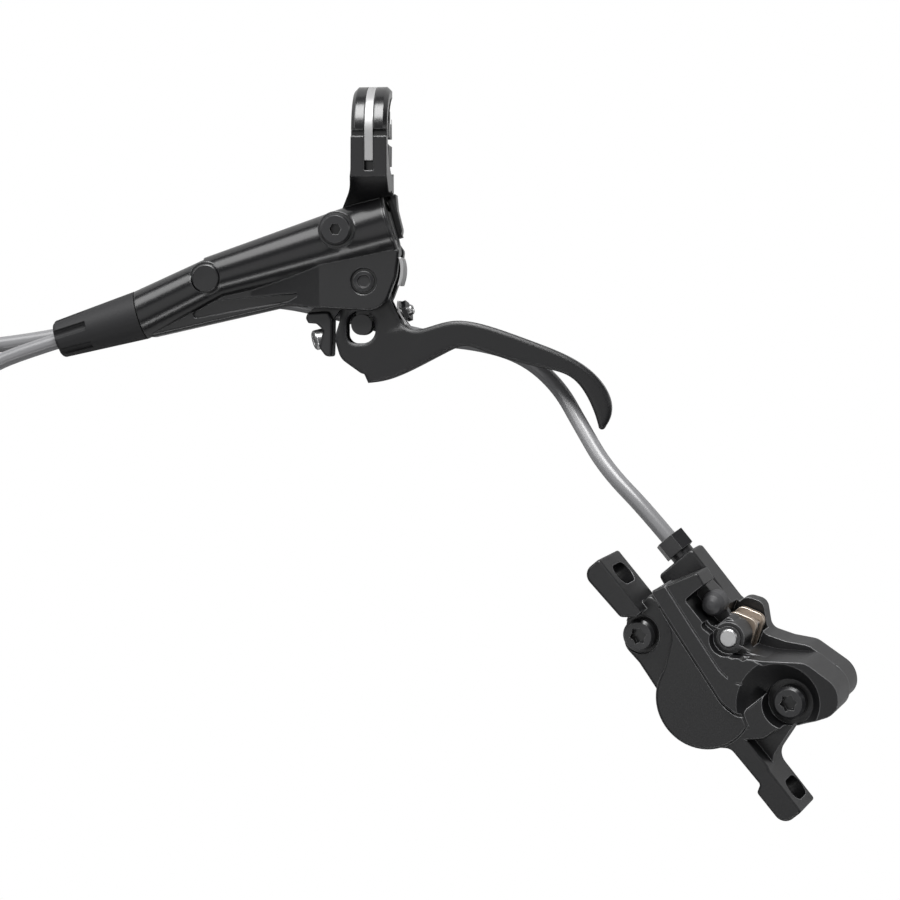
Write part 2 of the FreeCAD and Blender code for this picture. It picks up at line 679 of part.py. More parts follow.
def make_blade():
    upper = [(9.0, -54.4), (12.2, -55.2), (16.0, -54.4), (23.5, -52.7), (31.5, -53.9), (44.0, -58.2),
             (56.9, -63.7), (64.0, -69.2), (67.9, -77.0), (66.2, -83.0)]
    lower = [(64.2, -82.8), (61.4, -75.2), (56.5, -69.0), (48.0, -66.2), (31.0, -61.2), (25.9, -59.9),
             (20.0, -61.9), (10.4, -66.8), (-1.6, -70.4)]
    tip = Part.Arc(V3(66.2, -83.0, 0), V3(65.2, -83.8, 0), V3(64.2, -82.8, 0)).toShape()
    close = Part.LineSegment(V3(-1.6, -70.4, 0), V3(-3.0, -67.4, 0)).toShape()
    back = Part.LineSegment(V3(-3.0, -67.4, 0), V3(3.0, -56.0, 0)).toShape()
    front = Part.LineSegment(V3(3.0, -56.0, 0), V3(9.0, -54.4, 0)).toShape()
    wire = Part.Wire(Part.sortEdges([spline_edge(upper), tip, spline_edge(lower), close, back, front])[0])
    depth = num(blade_half_depth)
    finger = Part.Face(wire).extrude(V3(0, 0, 2 * depth))
    finger.translate(V3(0, 0, -depth))
    finger = eased(finger, 2.4, lambda edge: (flat_at(depth)(edge) or flat_at(-depth)(edge))
                   and edge.BoundBox.XMax > 20)
    # The finger is thicker than the fork and fades into it
    edge_start = V3(-3.0, -67.4, 0)
    for side in (-1, 1):
        finger = finger.cut(slope_cut(edge_start, V3(11.4, -6.0, 0), [
            (-3, side * num(cheek_outer)), (0.4, side * num(cheek_outer)), (11, side * (depth + 0.1)),
            (11, side * 12), (-3, side * 12)]))
    root = [
        (-8.0, -43.0, 4), (-9.6, -52.0, 5), (-11.3, -57.5, 6), (-9.6, -63.4, 5), (-3.2, -68.0, 3),
        (10.0, -66.5, 2), (12.5, -56.5, 2), (8.2, -53.6, 2), (4.6, -46.5, 5), (3.4, -38.0, 5), (-2.4, -35.6, 5),
        (-7.6, -38.2, 5),
    ]
    cheeks = prism(root, cheek_inner, cheek_outer).fuse(prism(root, -num(cheek_outer), -num(cheek_inner)))
    web = prism([(1.8, -50.5, 1), (-1.0, -61.0, 2), (-9.6, -61.4, 2), (-8.6, -64.0, 3), (-3.2, -67.8, 2),
                 (10.0, -66.5, 2), (12.5, -56.5, 2), (8.2, -53.6, 2), (5.6, -49.6, 1)],
                -num(cheek_outer), cheek_outer)
    shape = cheeks.fuse([web, finger])
    window = prism([(-3.7 - num(window_half), -49.8, 3.6), (-3.7 - num(window_half), -59.0, 2.6),
                    (-3.7 + num(window_half), -59.0, 3.6), (-3.7 + num(window_half), -49.8, 3.6)], -20, 20)
    shape = shape.cut(window)
    shape = shape.cut(rod_between(1.55, NUT - NUT_AXIS * 4, NUT + NUT_AXIS * 6))
    shape = shape.cut(rod(pivot_radius + 0.5, -20, 20, PIVOT.x, PIVOT.y))
    shape = shape.cut(rod(5.4, -num(link_half) - 0.3, num(link_half) + 0.3, PIVOT.x, PIVOT.y))
    return solid("lever_blade", shape.removeSplitter(), LEVER)


make_blade()
for name, low in (("blade_bush_top", cheek_inner), ("blade_bush_bottom", -cheek_outer)):
    ring(name, pivot_radius + 0.48, pivot_radius + 0.02, cheek_outer - cheek_inner,
         spot(PIVOT.x, PIVOT.y, low, 0, LEVER))


# Link: carried on the pivot, drives the piston and holds the reach screw
REACH_TIP = V3(-15.3, -57.6, 0)
REACH_AXIS = V3(-0.90, -0.24, 0.36)


def make_link():
    half = num(link_half)
    plate_outline = [
        (-6.6, -37.6, 3), (-11.0, -43.6, 3), (-19.2, -50.2, 1), (-19.7, -51.8, 0.8), (-19.0, -53.2, 0.6),
        (-16.6, -53.4, 1), (-14.7, -55.2, 1), (-15.9, -60.2, 1.5), (-14.1, -62.6, 1.5), (-12.2, -63.0, 1),
        (-12.0, -58.5, 2), (-11.9, -52.0, 2), (-9.0, -48.2, 2), (-5.4, -47.0, 1), (-5.3, -51.0, 0),
        (-1.4, -51.0, 0), (-1.2, -45.8, 2), (2.2, -41.4, 3), (1.2, -36.5, 3),
    ]
    shape = prism(plate_outline, -half, half)
    block = prism([(-19.2, -50.2, 1), (-19.7, -51.8, 0.8), (-19.0, -53.2, 0.6), (-16.6, -53.4, 1),
                   (-14.7, -55.2, 1), (-15.9, -60.2, 1.5), (-14.1, -62.6, 1.5), (-12.2, -63.0, 1),
                   (-12.0, -58.5, 2), (-11.9, -52.0, 2), (-13.0, -49.9, 1), (-15.0, -49.9, 1)], -3.9, 3.9)
    block = eased(block, 0.8, flat_at(3.9))
    shape = shape.fuse(block)
    shape = shape.fuse(rod(stud_radius, -4.0, 3.4, -3.6, -53.7))
    # Arm that reaches up into the master cylinder
    top = along_bore(10.9)
    side = BARREL_AXIS * 1.6
    across = V3(-BARREL_AXIS.y, BARREL_AXIS.x, 0)
    if across.y < 0:
        across = across * -1
    arm = [top + side + across * 2.2, top - side + across * 2.2, PIVOT - side * 1.6, PIVOT + side * 1.6]
    shape = shape.fuse(prism([(point.x, point.y, 0.8) for point in arm], -half, half))
    shape = shape.cut(rod(pivot_radius + 0.05, -20, 20, PIVOT.x, PIVOT.y))
    shape = shape.cut(rod_between(num(reach_screw_radius) + 0.05, REACH_TIP - REACH_AXIS * 2.4,
                                  REACH_TIP + REACH_AXIS * 9))
    return solid("pull_link", shape.removeSplitter(), LEVER)


make_link()
reach_screw = turned(
    "reach_screw",
    [(0, -2.0), (reach_screw_radius, -2.0), (reach_screw_radius, 2.2), (reach_screw_radius - 0.4, 2.6), (0, 2.6)],
    facing(REACH_TIP, REACH_AXIS, LEVER),
)
pocket_polygon(reach_screw, 6, Size(2.6, "2.6"), 2.0, 2.6)

# Master cylinder: push rod, piston with two cups, spring and stop ring
turned(
    "push_rod",
    [(0, 0.3), (1.0, 0.6), (1.6, 1.6), (1.6, 5.2), (0, 5.2)],
    facing(along_bore(12.8), BARREL_AXIS, LEVER),
)
cup_groove = bore_radius - 1.3
piston_outer = bore_radius - piston_clearance
turned(
    "master_piston",
    [(0, 1.2), (1.65, 1.2), (1.65, 0), (piston_outer, 0), (piston_outer, 2.4), (cup_groove, 2.4),
     (cup_groove, 4.2), (piston_outer, 4.2), (piston_outer, 5.2), (2.2, 5.2), (2.2, 11.0), (piston_outer, 11.0),
     (piston_outer, 12.4), (cup_groove, 12.4), (cup_groove, 14.4), (piston_outer - 0.4, 14.4),
     (piston_outer - 0.4, 15.2), (0, 15.2)],
    facing(along_bore(16.8), BARREL_AXIS, LEVER),
)
for name, start, length in (("secondary_cup", 2.4, 1.8), ("primary_cup", 12.4, 2.0)):
    ring(name, piston_outer + 0.01, cup_groove, length, facing(along_bore(16.8 + start), BARREL_AXIS, LEVER))
ring("piston_stop_ring", bore_radius + 0.43, 2.6, 0.8, facing(along_bore(15.9), BARREL_AXIS, LEVER))


def coil_spring(name, radius, wire_radius, length, turns, start, direction, frame):
    # The wire's section is a hexagon
    helix = Part.makeHelix(length / turns, length, radius)
    corners = []
    for i in range(7):
        angle = math.radians(60 * i)
        corners.append(V3(radius + wire_radius * math.cos(angle), 0, wire_radius * math.sin(angle)))
    shape = Part.Wire(helix.Edges).makePipeShell([Part.makePolygon(corners)], True, True)
    return solid(name, shape, facing(start, direction, frame))


coil_spring("piston_spring", 2.7, 0.3, 10.4, 5, along_bore(16.8 + 15.2 + 0.6), BARREL_AXIS, LEVER)

# Spring leaf on the body beside the lugs, and the return spring strip on the blade
leaf_top = BARREL_START.y - num(barrel_radius) + 0.1
leaf_path = [(8.7, leaf_top), (9.3, leaf_top - 3.2), (9.0, leaf_top - 6.0), (8.4, leaf_top - 7.9)]


def strip(points, thickness, low, high):
    outer = [(x, y) for x, y in points]
    inner = [(x - thickness, y) for x, y in points]
    edges = [spline_edge(outer), Part.LineSegment(V3(*outer[-1], 0), V3(*inner[-1], 0)).toShape(),
             spline_edge(inner), Part.LineSegment(V3(*inner[0], 0), V3(*outer[0], 0)).toShape()]
    face = Part.Face(Part.Wire(Part.sortEdges(edges)[0]))
    shape = face.extrude(V3(0, 0, high - low))
    shape.translate(V3(0, 0, low))
    return shape


solid("spring_leaf", strip(leaf_path, 0.9, 0, 10.0), LEVER)
return_shape = strip([(7.4, -46.9), (7.4, -49.6), (9.0, -52.6), (10.0, -54.0)], 0.6, -2.6, 3.2)
return_shape = return_shape.cut(rod_between(1.6, NUT - NUT_AXIS * 6, NUT + NUT_AXIS * 6))
solid("return_strip", return_shape, LEVER)
stroke_nut = new_body("stroke_nut", facing(NUT, NUT_AXIS, LEVER))
nut_sketch = new_sketch(stroke_nut, "stroke_nut_outline", "XY_Plane")
nut_across = size("nut_across", 5.4)
draw_polygon(nut_sketch, [
    (nut_across / 1.7320508 * math.cos(math.radians(60 * i)), nut_across / 1.7320508 * math.sin(math.radians(60 * i)))
    for i in range(6)])
draw_circle(nut_sketch, Size(1.52, "1.52"))
pad(stroke_nut, nut_sketch, 1.4)
stroke_screw = turned("stroke_screw", [(0, -3.6), (1.5, -3.6), (1.5, 2.2), (1.2, 2.6), (0, 2.6)],
                      facing(NUT, NUT_AXIS, LEVER))
pocket_polygon(stroke_screw, 6, Size(1.5, "1.5"), 1.0, 2.6)

# Hose fitting in the collar, and the rubber cover over it
turned(
    "hose_bolt_lever",
    [(hose_radius + hose_fit, -11.0), (2.95, -11.0), (2.95, 0), (4.2, 0), (4.2, 5.0), (3.8, 5.4),
     (hose_radius + hose_fit, 5.4)],
    facing(COLLAR + BARREL_AXIS * 0.3, BARREL_AXIS, LEVER),
)
turned(
    "olive_lever",
    [(hose_radius + 0.02, -2.4), (2.6, -2.4), (2.95, -1.2), (2.6, 0), (hose_radius + 0.02, 0)],
    facing(COLLAR - BARREL_AXIS * 11.0, BARREL_AXIS, LEVER),
)
turned(
    "hose_insert_lever",
    [(0.6, -0.8), (2.2, -0.8), (2.2, 0), (1.15, 0), (1.15, 9.0), (0.6, 9.0)],
    facing(COLLAR - BARREL_AXIS * 13.2, BARREL_AXIS, LEVER),
)


def make_cover():
    length = 25.4
    outer = Part.makeCone(num(collar_radius), 5.4, length, V3(0, 0, 0), UP)
    outer = eased(outer, 1.2, flat_at(length))
    hollow = Part.makeCylinder(4.4, 7.0, V3(0, 0, 0), UP)
    bore = Part.makeCylinder(num(hose_radius) + 0.15, length, V3(0, 0, 0), UP)
    shape = outer.cut(hollow).cut(bore)
    for i in range(6):
        flute = Part.makeCapsule(1.3, 16.0) if hasattr(Part, "makeCapsule") else Part.makeCylinder(1.3, 16.0)
        flute.translate(V3(0, 0, length - 10.0))
        flute.rotate(V3(0, 0, 0), V3(0, 1, 0), -4.0)
        flute.translate(V3(7.2, 0, 0))
        flute.rotate(V3(0, 0, 0), UP, 60 * i + 30)
        shape = shape.cut(flute)
    return solid("hose_cover", shape, facing(COLLAR + BARREL_AXIS * 0.3, BARREL_AXIS, LEVER))


make_cover()

# Caliper: x runs from ear 1 to ear 2, y away from the frame, z outboard
BOLT_A = V3(-24.7, -4.6, 0)
BOLT_B = V3(14.6, 16.8, 0)
AXLE = V3(-8.8, 15.6, 0)
NIPPLE = V3(-18.6, 17.4, 0)
PORT = V3(-34.8, 12.6, -8.4)
MOUNT_MIDDLE = -3.7
EAR_A = MOUNT_MIDDLE - num(mount_spacing) / 2
EAR_B = MOUNT_MIDDLE + num(mount_spacing) / 2


def radial(x, y, z=0.0):
    angle = math.radians(num(pad_turn))
    return V3(x * math.cos(angle) - y * math.sin(angle), x * math.sin(angle) + y * math.cos(angle), z)


def turned_outline(corners):
    result = []
    for x, y, radius in corners:
        point = radial(x, y)
        result.append((point.x, point.y, radius))
    return result


def rotor_way():
    centre = radial(0, -num(rotor_reach))
    return rod(rotor_clear_radius, -num(slot_half), slot_half, centre.x, centre.y)


plate_back = rotor_gap_half + lining_thickness + pad_plate_thickness
PAD_POCKET = [(-14.6, -9.6, 3), (14.6, -9.6, 3), (14.6, 8.6, 2), (5.4, 12.0, 2), (5.4, 40.0, 0),
              (-5.4, 40.0, 0), (-5.4, 12.0, 2), (-14.6, 8.6, 2)]
PAD_PLATE = [(-14.0, -9.0, 3), (14.0, -9.0, 3), (14.0, 8.2, 2), (4.6, 11.6, 2), (4.2, 22.6, 2.4),
             (-4.2, 22.6, 2.4), (-4.6, 11.6, 2), (-14.0, 8.2, 2)]
LINING = [(-13.4, -8.4, 3), (13.4, -8.4, 3), (13.4, 6.4, 2), (-13.4, 6.4, 2)]


def common_cuts(shape, side):
    pocket = prism(turned_outline(PAD_POCKET), min(0, side * 6.0), max(0, side * 6.0))
    shape = shape.cut(rotor_way()).cut(pocket)
    back = num(plate_back)
    # The bore opens into the pad pocket, ahead of the piston's whole travel
    bore = (side * (back - 0.8), side * (back + 11.6))
    shape = shape.cut(rod(caliper_piston_radius + 0.06, min(bore), max(bore)))
    groove = (side * (back + 3.6), side * (back + 5.8))
    return shape.cut(rod(caliper_piston_radius + 1.2, min(groove), max(groove)))


def line_groove(points, width, low, high):
    # A groove that follows a line across the face
    left = []
    right = []
    for i, (x, y) in enumerate(points):
        before = points[max(i - 1, 0)]
        after = points[min(i + 1, len(points) - 1)]
        run = V3(after[0] - before[0], after[1] - before[1], 0)
        run.normalize()
        radius = 0 if i in (0, len(points) - 1) else 7
        left.append((x - run.y * width / 2, y + run.x * width / 2, radius))
        right.append((x + run.y * width / 2, y - run.x * width / 2, radius))
    return prism(left + right[::-1], low, high)


FLANGE_B = [(1.6, 19.8, 2), (9.0, 28.2, 5), (19.2, 30.4, 6), (25.0, 25.8, 5), (20.8, 14.6, 3), (13.0, 4.0, 0)]


def make_caliper_outer():
    face = num(caliper_half_depth)
    panel_face = face - 0.7
    disc = rod(caliper_radius, 0, panel_face)
    shape = eased(disc, 0.9, flat_at(panel_face))
    # Drop-shaped panel that runs from the disc to the hose end
    panel = prism(
        [(-31.2, 7.6, 1), (-18.9, 4.6, 6), (-13.6, -2.6, 7), (-9.6, -9.4, 0), (0.0, -6.0, 0), (9.0, 3.0, 0),
         (0.0, 8.0, 0), (-31.0, 11.0, 0)],
        8.6, panel_face,
    )
    panel = eased(panel, 0.6, lambda edge: flat_at(panel_face)(edge) and edge.BoundBox.YMax < 7.7)
    # Raised band beside the panel, with two lines drawn along it
    band = prism(
        [(-31.4, 8.3, 0), (-27.5, 21.4, 0.8), (-23.6, 20.9, 1.4), (-22.2, 15.4, 1.4), (-8.9, 13.2, 2),
         (-4.6, 13.4, 3), (-0.4, 18.1, 0), (5.0, 20.0, 0), (9.0, 14.0, 0), (12.4, 7.2, 2), (8.4, 4.2, 4),
         (4.2, 3.2, 8), (-6.7, 4.7, 20), (-29.4, 7.5, 0)],
        8.6, face,
    )
    band = eased(band, 0.6, lambda edge: flat_at(face)(edge) and edge.BoundBox.XMin < -5 and edge.BoundBox.YMax > 8.6)
    shape = shape.fuse([panel, band])
    outer_line = line_groove([(-32.0, 7.6), (-16.5, 5.9), (-6.7, 4.8), (3.6, 3.6), (8.6, 4.8), (13.0, 8.6)],
                             0.9, face - 1.5, face + 1)
    inner_line = line_groove([(-32.0, 12.4), (-17.9, 10.7), (-3.4, 9.1), (1.6, 10.0), (4.4, 13.0), (8.0, 17.6)],
                             0.5, face - 0.5, face + 1)
    shape = shape.cut(outer_line).cut(inner_line)
    # Bolt flanges: outside the rotor's rim at both ends
    flange_a = prism(
        [(-31.6, 4.6, 1.5), (-31.0, -4.6, 6), (-25.5, -10.6, 5), (-19.0, -10.2, 4), (-9.0, -11.2, 0),
         (-4.0, 8.0, 0), (-14.0, 18.0, 2), (-27.6, 17.5, 2), (-27.6, 5.4, 1)],
        0, 12.0,
    )
    flange_a = eased(flange_a, 0.8, flat_at(12.0))
    flange_b = prism(
        [(-14.5, 12.6, 1), (-14.2, 18.4, 3), (-7.0, 20.0, 3), (-3.6, 15.6, 2)] + FLANGE_B + [(0.0, 0.0, 0)],
        0, 12.6,
    )
    # Saddle that falls from the band to the far end, and dips round the bolt
    saddle_start = V3(-4.6, 13.4, 0)
    saddle_way = V3(26.0, 14.0, 0)
    saddle = prism([(-4.6, 13.4, 2), (-0.4, 18.1, 3)] + FLANGE_B + [(4.0, 5.0, 0)], 0, face)
    saddle = saddle.cut(slope_cut(saddle_start, saddle_way, [(-6, face), (4, face), (34, 13.6), (34, 40), (-6, 40)]))
    saddle = eased(saddle, 1.3, lambda edge: on_slope(saddle_start + saddle_way * (4 / saddle_way.Length), saddle_way,
                                                      face, 13.6, 30)(edge) and edge.BoundBox.YMax > 15)
    shape = shape.fuse([flange_a, flange_b, saddle])
    dish = Part.makeCone(6.4, 13.4, 6.6, V3(BOLT_B.x, BOLT_B.y, 12.7), UP)
    shape = shape.cut(dish)
    # Axle boss
    shape = shape.fuse(rod(4.3, 6.2, 15.0, AXLE.x, AXLE.y))
    # Ears with their arms
    bearing = num(ear_bearing)
    under = bearing - num(ear_thickness)
    ears = prism([(EAR_A - 6.6, under, 4.2), (-31.5, under + 0.8, 1.5), (-29.0, -1.0, 0), (-29.0, bearing, 0),
                  (EAR_A - 6.6, bearing, 0.8)], 0.3, 17.6)
    ears = eased(ears, 0.8, lambda edge: flat_at(17.6)(edge) and edge.BoundBox.XMax < -31)
    arm_b = prism([(9.0, -9.5, 0), (14.5, -3.0, 3), (EAR_B - 6.6, -2.8, 1), (EAR_B - 5.4, under, 1),
                   (EAR_B + 5.8, under, 4.2), (EAR_B + 5.8, bearing, 0.8), (23.5, bearing + 0.2, 4),
                   (19.8, 14.0, 3), (9.0, 16.0, 0)], 2.4, 17.6)
    keep_low = prism([(15.5, 2.2, 0), (18.0, 6.0, 3), (19.0, 18.0, 0), (60.0, 18.0, 0), (60.0, 2.2, 0)], 12.0, 20.0)
    arm_b = arm_b.cut(keep_low)
    arm_b = eased(arm_b, 0.7, lambda edge: flat_at(17.6)(edge))
    shape = shape.fuse([ears, arm_b])
    shape = common_cuts(shape, 1)
    # Ear slots, open along the mounting bolts
    for x in (EAR_A, EAR_B):
        half = (num(mount_slot_length) - num(mount_slot_width)) / 2
        radius = num(mount_slot_width) / 2
        middle = 8.6
        box = Part.makeBox(2 * radius, 40, 2 * half, V3(x - radius, -30, middle - half))
        ends = [Part.makeCylinder(radius, 40, V3(x, -30, middle + offset), V3(0, 1, 0)) for offset in (-half, half)]
        trim = Part.makeBox(60, 40, 60, V3(x - 30, bearing + 6, -30))
        shape = shape.cut(box.fuse(ends).cut(trim))
    # Body bolts, axle and bleed nipple
    shape = shape.cut(rod(body_bolt_radius, -1, 14, BOLT_A.x, BOLT_A.y))
    shape = shape.cut(rod(body_bolt_radius, -1, 20, BOLT_B.x, BOLT_B.y))
    shape = shape.cut(rod(6.4, 10.6, 20, BOLT_B.x, BOLT_B.y))
    shape = shape.cut(rod(5.4, 10.6, 20, BOLT_A.x, BOLT_A.y))
    shape = shape.cut(rod(axle_radius + 0.04, -1, 20, AXLE.x, AXLE.y))
    shape = shape.cut(rod(2.9, 12.4, 20, AXLE.x, AXLE.y))
    nest = prism([(-24.0, 13.9, 1), (-13.4, 13.9, 1), (-13.4, 30.0, 0), (-24.0, 30.0, 0)], 8.0, 20.0)
    clip_room = prism([(-7.4, -3.0, 1), (7.4, 0.2, 1), (7.4, 8.0, 1), (-7.4, 8.0, 1)], 14.98, 20.0)
    clip_room.translate(V3(AXLE.x, AXLE.y, 0))
    shape = shape.cut(nest).cut(clip_room).cut(rod(4.4, 14.98, 20, AXLE.x, AXLE.y))
    shape = shape.cut(rod(1.5, 3.0, 9.0, NIPPLE.x, NIPPLE.y))
    # Rotor way for the ears
    centre = radial(0, -num(rotor_reach))
    shape = shape.cut(rod(rotor_clear_radius, -2, slot_half, centre.x, centre.y))
    return solid("caliper_outer", shape.removeSplitter(), CALIPER)


def make_caliper_inner():
    face = num(caliper_half_depth)
    disc = rod(caliper_radius, -face, 0)
    disc = eased(disc, 3.2, flat_at(-face))
    shape = disc
    flange_a = prism(
        [(-31.6, 4.6, 1.5), (-31.0, -4.6, 6), (-25.5, -10.6, 5), (-19.0, -10.2, 4), (-9.0, -11.2, 0),
         (-4.0, 8.0, 0), (-14.0, 18.0, 2), (-28.6, 15.5, 2), (-28.6, 5.4, 1)],
        -12.0, 0,
    )
    flange_a = eased(flange_a, 1.2, flat_at(-12.0))
    flange_b = prism(
        [(-15.5, 12.6, 1), (-15.2, 20.0, 3), (-11.0, 23.0, 3), (-4.4, 19.0, 3), (1.1, 22.6, 4), (6.0, 27.0, 5),
         (18.4, 30.6, 7), (24.0, 26.4, 5), (20.4, 14.6, 3), (13.0, 4.0, 0), (0.0, 0.0, 0)],
        -12.0, 0,
    )
    flange_b = eased(flange_b, 1.2, flat_at(-12.0))
    shape = shape.fuse([flange_a, flange_b])
    # Fluid block with the hose port and the bleed port
    block = prism([(-34.8, 4.8, 1.2), (-34.8, 17.2, 1.2), (-15.0, 16.8, 1), (-12.0, 4.0, 0), (-20.0, 2.0, 0)],
                  -14.0, -3.4)
    block = eased(block, 0.8, lambda edge: flat_at(-3.4)(edge) or flat_at(-14.0)(edge))
    shape = shape.fuse(block)
    shape = common_cuts(shape, -1)
    shape = shape.cut(rod(body_bolt_radius, -9.5, 1, BOLT_A.x, BOLT_A.y))
    shape = shape.cut(rod(body_bolt_radius, -9.5, 1, BOLT_B.x, BOLT_B.y))
    shape = shape.cut(rod(axle_radius + 0.04, -10.5, 1, AXLE.x, AXLE.y))
    port = rod_between(2.9, PORT + V3(9.0, 0, 0), PORT - V3(3, 0, 0))
    shape = shape.cut(port)
    return solid("caliper_inner", shape.removeSplitter(), CALIPER)


make_caliper_outer()
make_caliper_inner()


def star_socket(body, radius, depth, height):
    # Six rounded lobes: a six pointed outline sunk into the head
    sketch = new_sketch(body, f"{body.Name}_socket_outline", "XY_Plane")
    sketch.AttachmentOffset = FreeCAD.Placement(V3(0, 0, num(height)), FreeCAD.Rotation())
    points = []
    for i in range(12):
        reach = radius if i % 2 == 0 else radius * 0.74
        angle = math.radians(30 * i)
        points.append((reach * math.cos(angle), reach * math.sin(angle)))
    draw_polygon(sketch, points)
    cut = body.newObject("PartDesign::Pocket", f"{body.Name}_socket")
    cut.Profile = sketch
    bind_length(cut, depth)


for name, place in (("body_bolt_front", BOLT_A), ("body_bolt_rear", BOLT_B)):
    bolt = turned(
        name,
        [(0, -19.6), (body_bolt_radius - 0.02, -19.6), (body_bolt_radius - 0.02, 0), (body_bolt_head, 0),
         (body_bolt_head, 2.9), (body_bolt_head - 0.8, 3.6), (0, 3.6)],
        spot(place.x, place.y, 10.6, 0, CALIPER),
    )
    star_socket(bolt, bolt_socket, 2.2, 3.6)

# Pistons, seals and pads on each side of the rotor
for side, flip in (("outer", 0), ("inner", 180)):
    base = CALIPER.multiply(FreeCAD.Placement(V3(0, 0, 0), FreeCAD.Rotation(V3(0, 1, 0), flip)))
    turned(
        f"piston_{side}",
        [(0, plate_back + 6.0), (8.6, plate_back + 6.0), (8.6, plate_back), (caliper_piston_radius, plate_back),
         (caliper_piston_radius, plate_back + 10.4), (caliper_piston_radius - 0.6, plate_back + 11.0),
         (0, plate_back + 11.0)],
        base,
    )
    ring(f"piston_seal_{side}", caliper_piston_radius + 1.15, caliper_piston_radius + 0.03, 2.1,
         base.multiply(FreeCAD.Placement(V3(0, 0, 8.65), FreeCAD.Rotation())))
    if flip == 0:
        low = num(rotor_gap_half) + num(lining_thickness)
        plate_shape = prism(turned_outline(PAD_PLATE), low, low + num(pad_plate_thickness))
        lining_shape = prism(turned_outline(LINING), rotor_gap_half, low)
    else:
        low = num(rotor_gap_half) + num(lining_thickness)
        plate_shape = prism(turned_outline(PAD_PLATE), -low - num(pad_plate_thickness), -low)
        lining_shape = prism(turned_outline(LINING), -low, -num(rotor_gap_half))
    hole = rod(axle_radius + 0.25, -20, 20, AXLE.x, AXLE.y)
    solid(f"pad_plate_{side}", plate_shape.cut(hole), CALIPER)
    solid(f"pad_lining_{side}", lining_shape, CALIPER)


def make_pad_spring():
    # A thin sheet folded over the axle between the plates, with a curled tail
    points = turned_outline([(-3.4, 13.2, 0), (3.4, 13.2, 0), (3.4, 20.8, 0.8), (-3.4, 20.8, 0.8)])
    leaves = []
    for low in (2.5, -2.8):
        leaves.append(prism(points, low, low + 0.3))
    bridge = prism(turned_outline([(-3.4, 20.4, 0), (3.4, 20.4, 0), (3.4, 20.8, 0), (-3.4, 20.8, 0)]), -2.8, 2.8)
    shape = leaves[0].fuse([leaves[1], bridge])
    shape = shape.cut(rod(axle_radius + 0.02, -20, 20, AXLE.x, AXLE.y))
    return solid("pad_spring", shape, CALIPER)


make_pad_spring()
turned(
    "pad_axle",
    [(0, -10.4), (axle_radius, -10.4), (axle_radius, 12.4), (2.6, 12.4), (2.6, 15.4), (2.2, 15.9), (0, 15.9)],
    spot(AXLE.x, AXLE.y, 0, 0, CALIPER),
)
clip = prism([(-5.8, -1.6, 0), (-2.6, -0.4, 1), (2.9, -0.4, 1), (6.2, 2.6, 0), (2.6, 1.0, 1), (-2.4, 0.6, 1)], 0, 0.5)
clip = clip.fuse(rod(3.3, 0, 0.5)).cut(rod(2.62, -1, 2))
solid("axle_clip", clip.Solids[0] if len(clip.Solids) == 1 else clip, spot(AXLE.x, AXLE.y, 15.02, 0, CALIPER))

turned(
    "bleed_nipple",
    [(0, -4.0), (1.48, -4.0), (1.48, 0), (2.4, 0), (2.4, 2.0), (1.3, 2.4), (1.3, 4.6), (0, 4.6)],
    spot(NIPPLE.x, NIPPLE.y, 8.0, 0, CALIPER),
)
turned(
    "nipple_cap",
    [(2.42, 0), (3.3, 0), (3.3, 4.6), (2.6, 6.4), (1.2, 7.2), (0, 7.4), (0, 4.7), (2.42, 4.7)],
    spot(NIPPLE.x, NIPPLE.y, 8.05, 0, CALIPER),
)

# Hose fitting on the caliper
turned(
    "hose_collar_caliper",
    [(hose_radius + hose_fit, -5.0), (2.85, -5.0), (2.85, 0), (3.4, 0), (3.4, 1.6), (hose_radius + hose_fit, 1.6)],
    facing(PORT, V3(-1, 0, 0), CALIPER),
)
hex_body = new_body("hose_bolt_caliper", facing(PORT + V3(-1.6, 0, 0), V3(-1, 0, 0), CALIPER))
hex_sketch = new_sketch(hex_body, "hose_bolt_caliper_outline", "XY_Plane")
hex_across = size("hex_across", 8.0)
draw_polygon(hex_sketch, [
    (hex_across / 1.7320508 * math.cos(math.radians(60 * i + 30)), hex_across / 1.7320508 * math.sin(math.radians(60 * i + 30)))
    for i in range(6)])
draw_circle(hex_sketch, hose_radius + hose_fit)
pad(hex_body, hex_sketch, 5.0)
turned(
    "olive_caliper",
    [(hose_radius + 0.02, 0), (2.5, 0), (2.85, 1.2), (2.5, 2.4), (hose_radius + 0.02, 2.4)],
    facing(PORT + V3(5.0, 0, 0), V3(1, 0, 0), CALIPER),
)

# Hose: from the caliper over the table, round a coil and back to the lever
hose_low = num(floor_z) + num(hose_radius)
caliper_exit = CALIPER.multVec(PORT + V3(7.4, 0, 0))
caliper_out = CALIPER.Rotation.multVec(V3(-1, 0, 0))
lever_exit = LEVER.multVec(COLLAR - BARREL_AXIS * 12.0)
lever_out = LEVER.Rotation.multVec(BARREL_AXIS)
pitch = 2 * num(hose_radius) + 0.2
coil_outer = num(coil_radius) + pitch / 2
coil_inner = num(coil_radius) - pitch / 2

